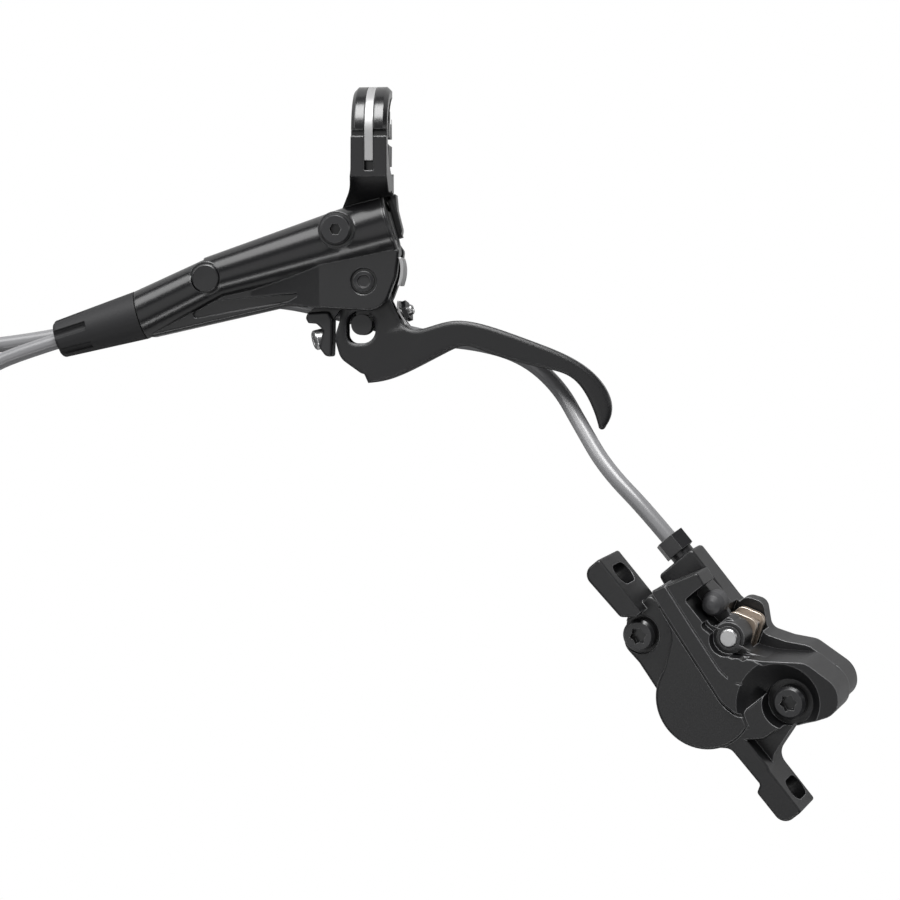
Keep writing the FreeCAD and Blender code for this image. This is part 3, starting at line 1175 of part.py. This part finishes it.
coil_enter = V3(num(coil_x), num(coil_y) + coil_outer, hose_low)
run_caliper = [
    caliper_exit,
    caliper_exit + caliper_out * 22.0,
    V3(66.5, -95.0, -7.0),
    V3(59.0, -81.5, -14.0),
    V3(52.5, -69.5, -19.2),
    V3(42.5, -60.6, hose_low),
    V3(29.0, -56.4, hose_low),
    V3(12.0, -55.0, hose_low),
    V3(-8.0, -48.4, hose_low),
    V3(-34.0, -42.4, hose_low),
    V3(-62.0, -45.4, hose_low),
    V3(-89.0, -53.0, hose_low),
    V3(-114.0, coil_enter.y + 1.6, hose_low),
    V3(-136.0, coil_enter.y, hose_low),
    coil_enter,
]
coil_leave = V3(num(coil_x) + coil_outer, num(coil_y), hose_low + pitch)
run_lever = [
    coil_leave,
    coil_leave + V3(0.4, 13.0, 0.3),
    coil_leave + V3(8.0, 22.0, 3.0),
    lever_exit + lever_out * 44.0,
    lever_exit,
]
solid("hose_run_caliper", tube(run_caliper, hose_radius))
solid("hose_run_lever", tube(run_lever, hose_radius))


# The coil's solid: one ring round all its turns
coil_high = 4 * num(hose_radius) + 0.2
coil_in = coil_inner - num(hose_radius)
coil_out = coil_outer + num(hose_radius)
turned(
    "hose_coil",
    [(coil_in + 1.4, 0), (coil_out - 1.4, 0), (coil_out, 1.4), (coil_out, coil_high - 1.4),
     (coil_out - 1.4, coil_high), (coil_in + 1.4, coil_high), (coil_in, coil_high - 1.4), (coil_in, 1.4)],
    spot(coil_x, coil_y, floor_z),
)
tie_turn = math.radians(150.0)
tie_centre = V3(num(coil_x) + num(coil_radius) * math.cos(tie_turn), num(coil_y) + num(coil_radius) * math.sin(tie_turn),
                num(floor_z) + 2 * num(hose_radius) + 0.1)
tie_half = 2 * num(hose_radius) + 0.1
tie_outer = Part.makeBox(2 * tie_half + 2.0, 3.2, 2 * tie_half + 1.0, V3(-tie_half - 1.0, -1.6, -tie_half))
tie_inner = Part.makeBox(2 * tie_half + 0.2, 4.2, 2 * tie_half + 0.1, V3(-tie_half - 0.1, -2.1, -tie_half))
tie = tie_outer.cut(tie_inner)
solid("hose_tie", tie, FreeCAD.Placement(tie_centre, FreeCAD.Rotation(UP, 150.0)))

# Check every object and write one file for each sub-part
doc.recompute()
for item in doc.Objects:
    if "Invalid" in item.State or "Error" in item.State:
        raise RuntimeError(f"{item.Name} did not build: {item.State}")
for item in doc.Objects:
    is_body = item.TypeId == "PartDesign::Body"
    is_feature = item.TypeId == "Part::Feature"
    if not (is_body or is_feature):
        continue
    shape = item.Shape
    if shape.isNull() or not shape.isValid():
        raise RuntimeError(f"{item.Label} has no valid shape")
    shape.exportStep(f"parts/{item.Label}.step")
    box = shape.BoundBox
    print(f"{item.Label:20s} solids {len(shape.Solids)} volume {shape.Volume:9.1f} "
          f"z {box.ZMin:7.2f} {box.ZMax:7.2f}")
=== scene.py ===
# %% [markdown]
# # Hydraulic disc brake
# The lever unit, the hose and the caliper lie on a pale table. The camera looks down on them
# from a little to the right, as a product photograph does.
#
# Places and sizes that are given in millimetres are multiplied by `MM`. The rest is in metres.

import math

import bmesh
import bpy
from mathutils import Matrix, Vector


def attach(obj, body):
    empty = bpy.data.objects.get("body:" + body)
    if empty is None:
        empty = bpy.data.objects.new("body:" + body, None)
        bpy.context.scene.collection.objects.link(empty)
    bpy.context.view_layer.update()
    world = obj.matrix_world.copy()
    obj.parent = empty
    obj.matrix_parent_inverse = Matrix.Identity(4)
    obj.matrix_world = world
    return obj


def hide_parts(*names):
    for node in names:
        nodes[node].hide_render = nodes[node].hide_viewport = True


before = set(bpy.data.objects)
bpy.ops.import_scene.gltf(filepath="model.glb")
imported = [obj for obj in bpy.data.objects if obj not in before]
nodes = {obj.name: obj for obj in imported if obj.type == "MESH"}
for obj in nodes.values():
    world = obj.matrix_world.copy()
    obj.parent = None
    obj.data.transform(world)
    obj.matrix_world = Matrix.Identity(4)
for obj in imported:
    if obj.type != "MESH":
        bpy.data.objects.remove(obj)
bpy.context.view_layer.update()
MM = 0.001

# %% [markdown]
# ## Camera
# A long lens above the table. The handlebar's direction runs level across the picture.

# %%
AIM = Vector((21.8, -89.1, -10.4)) * MM
TOWARD_CAMERA = Vector((0.087, -0.12, 0.989)).normalized()
CAMERA_DISTANCE = 714.8 * MM

right = Vector((1, 0, 0)) - TOWARD_CAMERA * TOWARD_CAMERA.x
right.normalize()
up = TOWARD_CAMERA.cross(right)
camera_data = bpy.data.cameras.new("camera")
camera_data.lens = 100
camera_data.sensor_width = 36
camera_data.clip_end = 20
camera = bpy.data.objects.new("camera", camera_data)
bpy.context.collection.objects.link(camera)
turn = Matrix((right, up, TOWARD_CAMERA)).transposed().to_4x4()
camera.matrix_world = Matrix.Translation(AIM + TOWARD_CAMERA * CAMERA_DISTANCE) @ turn
bpy.context.scene.camera = camera

# %% [markdown]
# ## Hose
# One smooth line: from the caliper over the table and under the lever, round a tied coil, and back
# into the cover at the lever. The coil has four strands, two wide and two high. In the last quarter
# of each turn the strands twist together, so that each one takes the place of the next. While
# they twist they are lifted a little, so that none of them sinks into the table.

# %%
HOSE_DIAMETER = 4.6 * MM
HOSE_ON_TABLE = -20.0
COIL_CENTRE = (-154.0, -87.4)
COIL_RADIUS = 26.5
COIL_STRAND_GAP = 4.8
COIL_STARTS_AT = 90
COIL_TURNS = 3.75
TWIST_SHARE = 0.25
STRAND_STEP = 90
STRAND_CORNER = 45

FROM_CALIPER = [
    (92.96, -125.58, -2.9), (79.17, -108.43, -2.9), (66.5, -95.0, -7.0), (59.0, -81.5, -14.0),
    (52.5, -69.5, -19.2), (42.5, -60.6, HOSE_ON_TABLE), (29.0, -56.4, HOSE_ON_TABLE),
    (12.0, -55.0, HOSE_ON_TABLE), (-8.0, -48.4, HOSE_ON_TABLE), (-34.0, -42.4, HOSE_ON_TABLE),
    (-62.0, -45.4, HOSE_ON_TABLE), (-89.0, -53.0, HOSE_ON_TABLE), (-114.0, -56.9, HOSE_ON_TABLE),
    (-136.0, -58.5, HOSE_ON_TABLE),
]
TO_LEVER = [
    (-124.7, -74.4, -14.9), (-117.1, -65.4, -12.2), (-98.36, -58.96, -7.63),
    (-56.06, -46.99, -5.67),
]


def ease(value):
    value = min(max(value, 0.0), 1.0)
    return value * value * (3 - 2 * value)


def coil_points(steps_per_turn=20):
    points = []
    reach = COIL_STRAND_GAP / math.sqrt(2)
    count = round(COIL_TURNS * steps_per_turn)
    for i in range(count + 1):
        turns = COIL_TURNS * i / count
        strand = int(turns + 1e-9)
        twist = STRAND_STEP * ease((turns - strand - (1 - TWIST_SHARE)) / TWIST_SHARE)
        place = math.radians(-STRAND_CORNER - STRAND_STEP * strand - twist)
        lift = reach * math.sin(math.radians(STRAND_CORNER + twist)) - COIL_STRAND_GAP / 2
        radius = COIL_RADIUS + reach * math.cos(place)
        height = HOSE_ON_TABLE + COIL_STRAND_GAP / 2 + reach * math.sin(place) + lift
        angle = math.radians(COIL_STARTS_AT + 360 * turns)
        points.append((COIL_CENTRE[0] + radius * math.cos(angle),
                       COIL_CENTRE[1] + radius * math.sin(angle), height))
    return points


# The thickness is each point's radius, with a bevel of one: Blender adds that radius to the
# curve's box, so the box then fits the hose.
def hose_curve(name, points, diameter):
    data = bpy.data.curves.new(name, "CURVE")
    data.dimensions = "3D"
    spline = data.splines.new("NURBS")
    spline.points.add(len(points) - 1)
    for point, place in zip(spline.points, points):
        point.co = (place[0] * MM, place[1] * MM, place[2] * MM, 1)
        point.radius = diameter / 2
    spline.order_u = 3
    spline.use_endpoint_u = True
    spline.resolution_u = 8
    data.bevel_depth = 1.0
    data.bevel_resolution = 6
    data.use_fill_caps = True
    curve = bpy.data.objects.new(name, data)
    bpy.context.collection.objects.link(curve)
    return curve


route = FROM_CALIPER + coil_points() + TO_LEVER
hose = hose_curve("hose", route, HOSE_DIAMETER)
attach(hose, "housing")
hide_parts("hose_run_caliper", "hose_coil", "hose_run_lever")


# %% [markdown]
# ## Shared shader groups
# `edge_light` gives a mask of the sharp edges, and a normal that rounds them by a hair. The mask
# grows as the rounded normal turns away from the face's own. The materials paint a lighter colour
# along this mask: a painted highlight on every sharp edge.
# `fine_grain` gives a normal with the small unevenness of paint, casting or rubber, and its value.

# %%
EDGE_SAMPLES = 10
EDGE_MASK_STARTS = 0.995
EDGE_MASK_FULL = 0.80
GRAIN_DETAIL = 3
GRAIN_HEIGHT = 0.2 * MM


def new_group(name, inputs, outputs):
    group = bpy.data.node_groups.new(name, "ShaderNodeTree")
    for label, kind, value in inputs:
        socket = group.interface.new_socket(label, in_out="INPUT", socket_type=kind)
        if value is not None:
            socket.default_value = value
    for label, kind in outputs:
        group.interface.new_socket(label, in_out="OUTPUT", socket_type=kind)
    return group, group.nodes.new("NodeGroupInput"), group.nodes.new("NodeGroupOutput")


def make_edge_group():
    group, entry, leave = new_group(
        "edge_light",
        [("Radius", "NodeSocketFloat", 0.0004)],
        [("Mask", "NodeSocketFloat"), ("Normal", "NodeSocketVector")],
    )
    bevel = group.nodes.new("ShaderNodeBevel")
    bevel.samples = EDGE_SAMPLES
    geometry = group.nodes.new("ShaderNodeNewGeometry")
    dot = group.nodes.new("ShaderNodeVectorMath")
    dot.operation = "DOT_PRODUCT"
    spread = group.nodes.new("ShaderNodeMapRange")
    spread.inputs["From Min"].default_value = EDGE_MASK_STARTS
    spread.inputs["From Max"].default_value = EDGE_MASK_FULL
    link = group.links.new
    link(entry.outputs["Radius"], bevel.inputs["Radius"])
    link(bevel.outputs["Normal"], dot.inputs[0])
    link(geometry.outputs["Normal"], dot.inputs[1])
    link(dot.outputs["Value"], spread.inputs["Value"])
    link(spread.outputs["Result"], leave.inputs["Mask"])
    link(bevel.outputs["Normal"], leave.inputs["Normal"])
    return group


def make_grain_group():
    group, entry, leave = new_group(
        "fine_grain",
        [("Scale", "NodeSocketFloat", 900.0), ("Depth", "NodeSocketFloat", 0.1),
         ("Normal", "NodeSocketVector", None)],
        [("Value", "NodeSocketFloat"), ("Normal", "NodeSocketVector")],
    )
    place = group.nodes.new("ShaderNodeTexCoord")
    noise = group.nodes.new("ShaderNodeTexNoise")
    noise.inputs["Detail"].default_value = GRAIN_DETAIL
    bump = group.nodes.new("ShaderNodeBump")
    bump.inputs["Distance"].default_value = GRAIN_HEIGHT
    link = group.links.new
    link(place.outputs["Object"], noise.inputs["Vector"])
    link(entry.outputs["Scale"], noise.inputs["Scale"])
    link(noise.outputs["Fac"], bump.inputs["Height"])
    link(entry.outputs["Depth"], bump.inputs["Strength"])
    link(entry.outputs["Normal"], bump.inputs["Normal"])
    link(noise.outputs["Fac"], leave.inputs["Value"])
    link(bump.outputs["Normal"], leave.inputs["Normal"])
    return group


EDGE = make_edge_group()
GRAIN = make_grain_group()


# %% [markdown]
# ## Materials
# Every material is a Principled shader on the shared groups: edges first, then grain, then colour.
# The second colour of each material is a painted highlight, laid along the sharp edges by the edge
# mask.
# Each one is then put on the CAD nodes that it finishes.

# %%
COAT_ROUGHNESS = 0.18


def add_group(tree, group):
    node = tree.nodes.new("ShaderNodeGroup")
    node.node_tree = group
    return node


def make_material(name, colour, roughness, metallic=0.0, coat=0.0, edge_highlight_colour=None,
                  edge_radius=0.0004, grain_scale=900.0, grain_depth=0.1, mottle=0.1,
                  specular=0.5):
    material = bpy.data.materials.new(name)
    material.use_nodes = True
    tree = material.node_tree
    shader = tree.nodes["Principled BSDF"]
    shader.inputs["Roughness"].default_value = roughness
    shader.inputs["Metallic"].default_value = metallic
    shader.inputs["Coat Weight"].default_value = coat
    shader.inputs["Coat Roughness"].default_value = COAT_ROUGHNESS
    shader.inputs["Specular IOR Level"].default_value = specular
    edge = add_group(tree, EDGE)
    edge.inputs["Radius"].default_value = edge_radius
    grain = add_group(tree, GRAIN)
    grain.inputs["Scale"].default_value = grain_scale
    grain.inputs["Depth"].default_value = grain_depth
    link = tree.links.new
    link(edge.outputs["Normal"], grain.inputs["Normal"])
    link(grain.outputs["Normal"], shader.inputs["Normal"])
    shade = tree.nodes.new("ShaderNodeMapRange")
    shade.inputs["To Min"].default_value = 1 - mottle
    shade.inputs["To Max"].default_value = 1 + mottle
    link(grain.outputs["Value"], shade.inputs["Value"])
    # Painted highlight: the edge mask mixes a lighter colour into the base colour along the sharp
    # edges.
    painted_edge_mix = tree.nodes.new("ShaderNodeMix")
    painted_edge_mix.data_type = "RGBA"
    painted_edge_mix.inputs["A"].default_value = (*colour, 1)
    painted_edge_mix.inputs["B"].default_value = (*(edge_highlight_colour or colour), 1)
    link(edge.outputs["Mask"], painted_edge_mix.inputs["Factor"])
    scale = tree.nodes.new("ShaderNodeVectorMath")
    scale.operation = "SCALE"
    link(painted_edge_mix.outputs["Result"], scale.inputs[0])
    link(shade.outputs["Result"], scale.inputs["Scale"])
    link(scale.outputs["Vector"], shader.inputs["Base Color"])
    return material


# The second colours below are painted highlights along the sharp edges, lighter than each base
# colour.
gloss_black = make_material(
    "gloss_black_paint", (0.0035, 0.0035, 0.004), 0.26, coat=0.3,
    edge_highlight_colour=(0.03, 0.03, 0.031), edge_radius=0.0007, grain_scale=700, grain_depth=0.03)
satin_black = make_material(
    "satin_black_blade", (0.003, 0.003, 0.0035), 0.36, coat=0.1,
    edge_highlight_colour=(0.02, 0.02, 0.022), edge_radius=0.0022, grain_scale=1400, grain_depth=0.06)
cast_grey = make_material(
    "cast_dark_grey", (0.0035, 0.0035, 0.004), 0.38, specular=0.6,
    edge_highlight_colour=(0.20, 0.20, 0.205), edge_radius=0.00045, grain_scale=1600, grain_depth=0.14)
rubber = make_material(
    "matte_rubber", (0.012, 0.012, 0.013), 0.60, specular=0.35,
    edge_highlight_colour=(0.025, 0.025, 0.025), grain_scale=1800, grain_depth=0.15)
polymer = make_material(
    "black_polymer", (0.007, 0.007, 0.007), 0.40,
    edge_highlight_colour=(0.02, 0.02, 0.02), grain_scale=1500, grain_depth=0.08)
bright_steel = make_material(
    "bright_steel", (0.50, 0.50, 0.50), 0.34, metallic=1.0,
    edge_highlight_colour=(0.75, 0.75, 0.75), grain_scale=2400, grain_depth=0.08, mottle=0.08)
satin_steel = make_material(
    "satin_steel", (0.36, 0.36, 0.36), 0.42, metallic=0.6,
    edge_highlight_colour=(0.6, 0.6, 0.6), grain_scale=2400, grain_depth=0.05, mottle=0.05)
grey_rubber = make_material(
    "grey_rubber", (0.035, 0.035, 0.037), 0.5, grain_scale=1500, grain_depth=0.10)
black_steel = make_material(
    "black_steel", (0.012, 0.012, 0.013), 0.30, coat=0.1,
    edge_highlight_colour=(0.14, 0.14, 0.14), edge_radius=0.00025, grain_scale=1500, grain_depth=0.08)
aluminium = make_material(
    "bare_aluminium", (0.60, 0.60, 0.61), 0.32, metallic=1.0, grain_scale=2000)
brass = make_material(
    "brass", (0.62, 0.46, 0.20), 0.30, metallic=1.0, grain_scale=2000)
pad_metal = make_material(
    "bronze_pad_plate", (0.42, 0.34, 0.27), 0.38, metallic=0.7,
    edge_highlight_colour=(0.80, 0.74, 0.66), grain_scale=1500)
lining = make_material(
    "friction_lining", (0.07, 0.055, 0.045), 0.85,
    grain_scale=1100, grain_depth=0.5, mottle=0.5)
ceramic = make_material(
    "piston_ceramic", (0.10, 0.09, 0.08), 0.35, grain_scale=1500)
hose_grey = make_material(
    "hose_sheath", (0.17, 0.17, 0.175), 0.34, coat=0.3,
    grain_scale=900, grain_depth=0.0, mottle=0.03)

FINISHES = {
    gloss_black: ["lever_body", "clamp_band", "barrel_cap", "port_plug"],
    satin_black: ["lever_blade"],
    cast_grey: ["caliper_outer", "caliper_inner"],
    grey_rubber: ["nipple_cap"],
    satin_steel: ["clamp_strap", "spring_leaf", "return_strip"],
    rubber: ["hose_cover", "bleed_seal", "reservoir_bladder", "primary_cup", "secondary_cup",
             "piston_seal_outer", "piston_seal_inner"],
    polymer: ["blade_bush_top", "blade_bush_bottom", "hose_tie"],
    bright_steel: ["pivot_clip", "reach_screw", "push_rod", "piston_spring", "piston_stop_ring",
                   "stroke_screw", "pad_axle", "pad_spring", "bleed_nipple"],
    black_steel: ["pivot_pin", "pull_link", "axle_clip", "clamp_bolt", "bleed_screw",
                  "stroke_nut", "hose_bolt_lever", "body_bolt_front", "body_bolt_rear",
                  "hose_collar_caliper", "hose_bolt_caliper"],
    aluminium: ["master_piston"],
    brass: ["olive_lever", "olive_caliper", "hose_insert_lever"],
    pad_metal: ["pad_plate_outer", "pad_plate_inner"],
    lining: ["pad_lining_outer", "pad_lining_inner"],
    ceramic: ["piston_outer", "piston_inner"],
}
for material, names in FINISHES.items():
    for name in names:
        for slot in nodes[name].material_slots:
            slot.material = material
hose.data.materials.append(hose_grey)

# %% [markdown]
# ## Floor behind the barrel cap
# A thin strip closes the slot between the cap and the arm, so that no light comes up through it.
# It is set out beside the cap's middle, turned to the barrel, and tilted with the lever unit.

# %%
LEVER_TILT = Matrix.Rotation(math.radians(9.3), 4, "X")
BARREL_TURN = Matrix.Rotation(math.radians(196.0), 4, "Z")
CAP_PLACE = Matrix.Translation(Vector((4.5, -25.5, -2.4)) * MM)
CAP_FLOOR_SIZE = Vector((1.36, 11.6, 2.8)) * MM
CAP_FLOOR_SHIFT = Vector((-1.73, -1.8, 0)) * MM

strip_mesh = bpy.data.meshes.new("cap_floor")
shape = bmesh.new()
bmesh.ops.create_cube(shape, size=1.0)
bmesh.ops.scale(shape, vec=CAP_FLOOR_SIZE, verts=shape.verts)
bmesh.ops.translate(shape, vec=CAP_FLOOR_SHIFT, verts=shape.verts)
bmesh.ops.transform(shape, matrix=LEVER_TILT @ CAP_PLACE @ BARREL_TURN, verts=shape.verts)
shape.to_mesh(strip_mesh)
shape.free()
cap_floor = bpy.data.objects.new("cap_floor", strip_mesh)
bpy.context.collection.objects.link(cap_floor)
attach(cap_floor, "housing")
cap_floor.data.materials.append(gloss_black)

# %% [markdown]
# ## Table and light
# The table and the sky are plain white to the camera, and dim to the object. Two broad lamps on
# the far side give the soft bands along the barrel. The five weaker ones lift the near edges, the
# blade and the caliper.

# %%
LAMPS_AIM = Vector((0.02, -0.08, -0.01))
FLOOR_Z = -22.4 * MM
TABLE_RADIUS = 0.6
TABLE_GREY = 0.36
SKY_COLOUR = (0.9, 0.93, 1.0, 1)
SKY_STRENGTH = 0.06


def lamp(name, place, size_x, size_y, power):
    data = bpy.data.lights.new(name, "AREA")
    data.shape = "RECTANGLE"
    data.size = size_x
    data.size_y = size_y
    data.energy = power
    light = bpy.data.objects.new(name, data)
    bpy.context.collection.objects.link(light)
    light.location = place
    light.rotation_euler = (Vector(place) - LAMPS_AIM).to_track_quat("Z", "Y").to_euler()


lamp("key_lamp", (0.06, 0.90, 0.82), 0.68, 0.8, 26)
lamp("soft_left_lamp", (-0.64, 0.86, 0.78), 0.72, 0.8, 8)
lamp("left_lamp", (-1.0, 0.40, 0.55), 0.4, 0.5, 3)
lamp("long_lamp_near", (0.05, -1.0, 0.50), 1.3, 0.14, 3.4)
lamp("overhead_lamp", (-0.14, -0.34, 1.05), 0.8, 0.7, 1.3)
lamp("caliper_lamp", (-0.74, -0.58, 1.0), 0.5, 0.5, 0.9)
lamp("side_lamp_right", (1.0, 0.1, 0.40), 0.25, 0.8, 1.2)


def white_to_camera(tree, out, shade, plain_socket, white_kind):
    path = tree.nodes.new("ShaderNodeLightPath")
    white = tree.nodes.new(white_kind)
    white.inputs["Color"].default_value = (1, 1, 1, 1)
    white.inputs["Strength"].default_value = 1.0
    mix = tree.nodes.new("ShaderNodeMixShader")
    tree.links.new(path.outputs["Is Camera Ray"], mix.inputs["Fac"])
    tree.links.new(shade.outputs[plain_socket], mix.inputs[1])
    tree.links.new(white.outputs[0], mix.inputs[2])
    tree.links.new(mix.outputs["Shader"], out.inputs["Surface"])


world = bpy.data.worlds.new("studio")
bpy.context.scene.world = world
world.use_nodes = True
sky = world.node_tree.nodes["Background"]
sky.inputs["Color"].default_value = SKY_COLOUR
sky.inputs["Strength"].default_value = SKY_STRENGTH
white_to_camera(world.node_tree, world.node_tree.nodes["World Output"], sky,
                "Background", "ShaderNodeBackground")

table_mesh = bpy.data.meshes.new("table")
shape = bmesh.new()
bmesh.ops.create_circle(shape, cap_ends=True, segments=64, radius=TABLE_RADIUS)
bmesh.ops.translate(shape, verts=shape.verts, vec=(0, 0, FLOOR_Z))
shape.to_mesh(table_mesh)
shape.free()
table = bpy.data.objects.new("table", table_mesh)
bpy.context.collection.objects.link(table)
table_paint = bpy.data.materials.new("table_white")
table_paint.use_nodes = True
paint = table_paint.node_tree.nodes["Principled BSDF"]
paint.inputs["Base Color"].default_value = (TABLE_GREY, TABLE_GREY, TABLE_GREY, 1)
paint.inputs["Roughness"].default_value = 0.8
white_to_camera(table_paint.node_tree, table_paint.node_tree.nodes["Material Output"], paint,
                "BSDF", "ShaderNodeEmission")
table.data.materials.append(table_paint)

# %% [markdown]
# ## View transform
# The picture keeps its colours as they are lit.

# %%
bpy.context.scene.view_settings.view_transform = "Standard"
